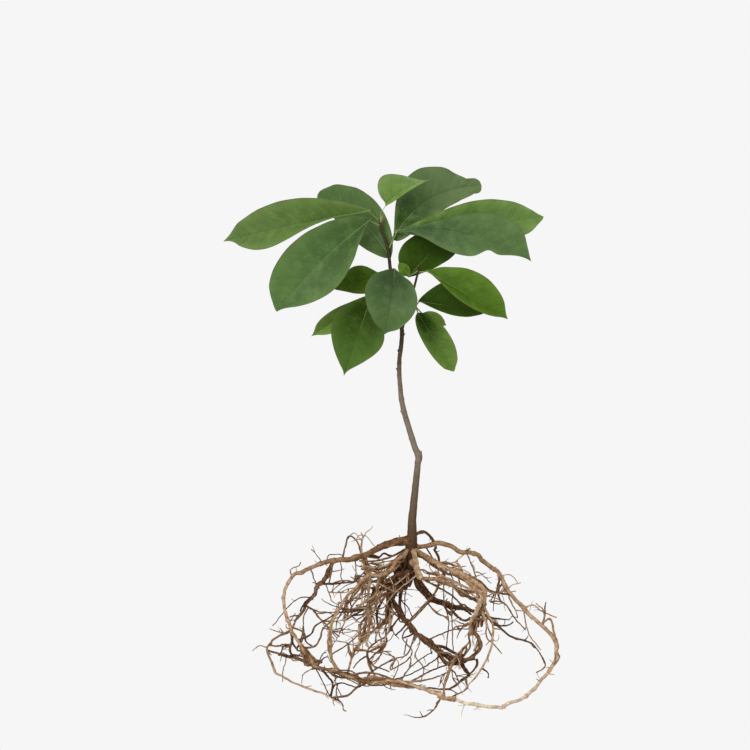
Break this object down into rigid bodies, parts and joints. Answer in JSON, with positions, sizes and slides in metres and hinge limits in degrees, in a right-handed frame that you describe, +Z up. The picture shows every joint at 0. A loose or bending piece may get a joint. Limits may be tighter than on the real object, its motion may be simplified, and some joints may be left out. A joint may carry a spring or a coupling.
{
  "type": "bare-root sapling",
  "caption": "Young broad-leaved sapling with bare roots, lying down: a slender kinked stem, a crown of large obovate leaves and a wide tangle of roots.",
  "frame": {"origin": "centre of the underside of the whole plant's box, on the bench it lies on", "axes": "+Y along the stem from roots to leaves, +Z up from the bench, +X to the side"},
  "size_m": [0.418, 0.6866, 0.1449],
  "materials": {
    "bark": "matt grey-brown bark, darker towards the tip",
    "root": "matt brown root bark, light tan on the outer roots",
    "leaf": "satin mid-green leaves with pale ribs"
  },
  "bodies": {
    "root": {"fibres_back": "root", "fibres_bend": "root", "fibres_heart": "root", "fibres_knot": "root", "fibres_left": "root", "fibres_low_left": "root", "fibres_right": "root", "fibres_ring": "root", "fibres_tap": "root", "fibres_top": "root", "leaves_front": "leaf", "leaves_lower_left": "leaf", "leaves_lower_right": "leaf", "leaves_side": "leaf", "leaves_top": "leaf", "root_back_far": "root", "root_back_left": "root", "root_back_middle": "root", "root_back_right": "root", "root_bent": "root", "root_bent_down": "root", "root_front": "root", "root_hook": "root", "root_left": "root", "root_left_drop": "root", "root_left_edge": "root", "root_left_front": "root", "root_left_inner": "root", "root_left_low": "root", "root_middle": "root", "root_middle_right": "root", "root_right": "root", "root_right_drop": "root", "root_right_ring": "root", "root_right_thin": "root", "root_stray": "root", "root_tap": "root", "root_wave": "root", "side_shoot": "bark", "stem": "bark"}
  },
  "joints": []
}
